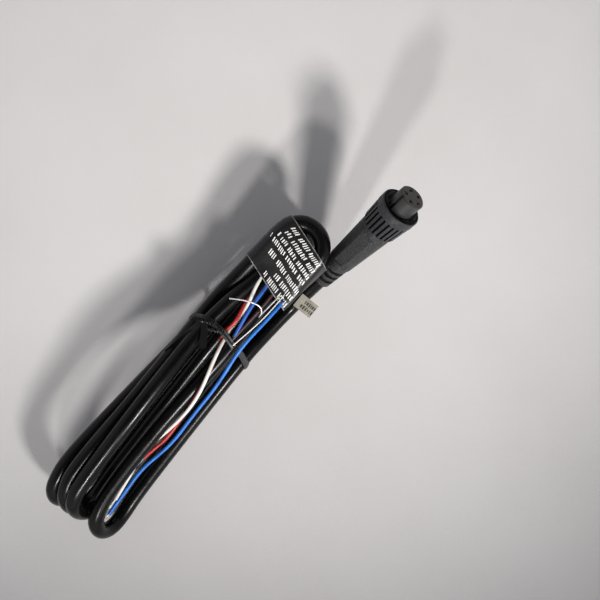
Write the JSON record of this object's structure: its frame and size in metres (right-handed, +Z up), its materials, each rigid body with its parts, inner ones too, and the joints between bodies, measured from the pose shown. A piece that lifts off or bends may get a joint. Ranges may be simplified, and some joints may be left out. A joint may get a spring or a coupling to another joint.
{
  "type": "moulded sensor cordset",
  "caption": "Round female plug-in sensor connector with a turning ribbed coupling ring, on a black cable tied up in a hank with its stripped wires, wrap-round label and tag.",
  "frame": {"origin": "centre of the connector's mating face; the hank lies on a level surface 45.6 mm below it", "axes": "+Z up, +X along the hank from its folded ends towards the connector, which points 43 degrees up and 9.7 degrees from +X towards -Y; +Y to the hank's far side"},
  "size_m": [0.1662, 0.0457, 0.0488],
  "materials": {
    "ring_plastic": "fine satin moulded texture",
    "grip_plastic": "matte spark-eroded texture",
    "carrier_plastic": "satin",
    "inner_block_plastic": "natural moulded",
    "washer_plastic": "natural acetal",
    "seal_rubber": "satin",
    "contact_gold": "gold plated",
    "cable_jacket": "semi-gloss extruded",
    "label_vinyl": "satin film with pale bars",
    "tag_paper": "matte",
    "tie_plastic": "satin, ribbed by its wires",
    "blue_insulation": "semi-gloss extruded",
    "dark_blue_insulation": "semi-gloss extruded",
    "white_insulation": "semi-gloss extruded",
    "red_insulation": "semi-gloss extruded",
    "brown_insulation": "semi-gloss extruded",
    "tinned_wire": "tinned copper strands",
    "thread_fibre": "loose twisted fibre"
  },
  "bodies": {
    "cordset": {"contact_carrier": "carrier_plastic", "sealing_ring": "seal_rubber", "inner_block": "inner_block_plastic", "overmould": "grip_plastic", "cable_lead": "cable_jacket", "cable_hank": "cable_jacket", "wiring_label": "label_vinyl", "marker_tag": "tag_paper", "twist_tie": "tie_plastic", "tie_core_wire": "tinned_wire", "wire_blue": "blue_insulation", "wire_dark_blue": "dark_blue_insulation", "wire_white": "white_insulation", "wire_red": "red_insulation", "wire_brown": "brown_insulation", "strands_blue": "tinned_wire", "strands_white": "tinned_wire", "strands_red": "tinned_wire", "drain_wire": "tinned_wire", "filler_thread": "thread_fibre", "socket_contact_1": "contact_gold", "socket_contact_2": "contact_gold", "socket_contact_3": "contact_gold", "socket_contact_4": "contact_gold", "socket_contact_5": "contact_gold", "core_wire_1": "blue_insulation", "core_wire_2": "dark_blue_insulation", "core_wire_3": "white_insulation", "core_wire_4": "red_insulation", "core_wire_5": "brown_insulation"},
    "washer": {"thrust_washer": "washer_plastic"},
    "ring": {"coupling_ring": "ring_plastic"}
  },
  "joints": [
    {"name": "ring_slide", "type": "slide", "parent": "cordset", "child": "washer", "axis": [0.7209, -0.1232, 0.682], "range_m": [0, 0.005]},
    {"name": "ring_turn", "type": "hinge", "parent": "washer", "child": "ring", "pos_m": [0, 0, 0], "axis": [0.7209, -0.1232, 0.682], "continuous": true}
  ]
}
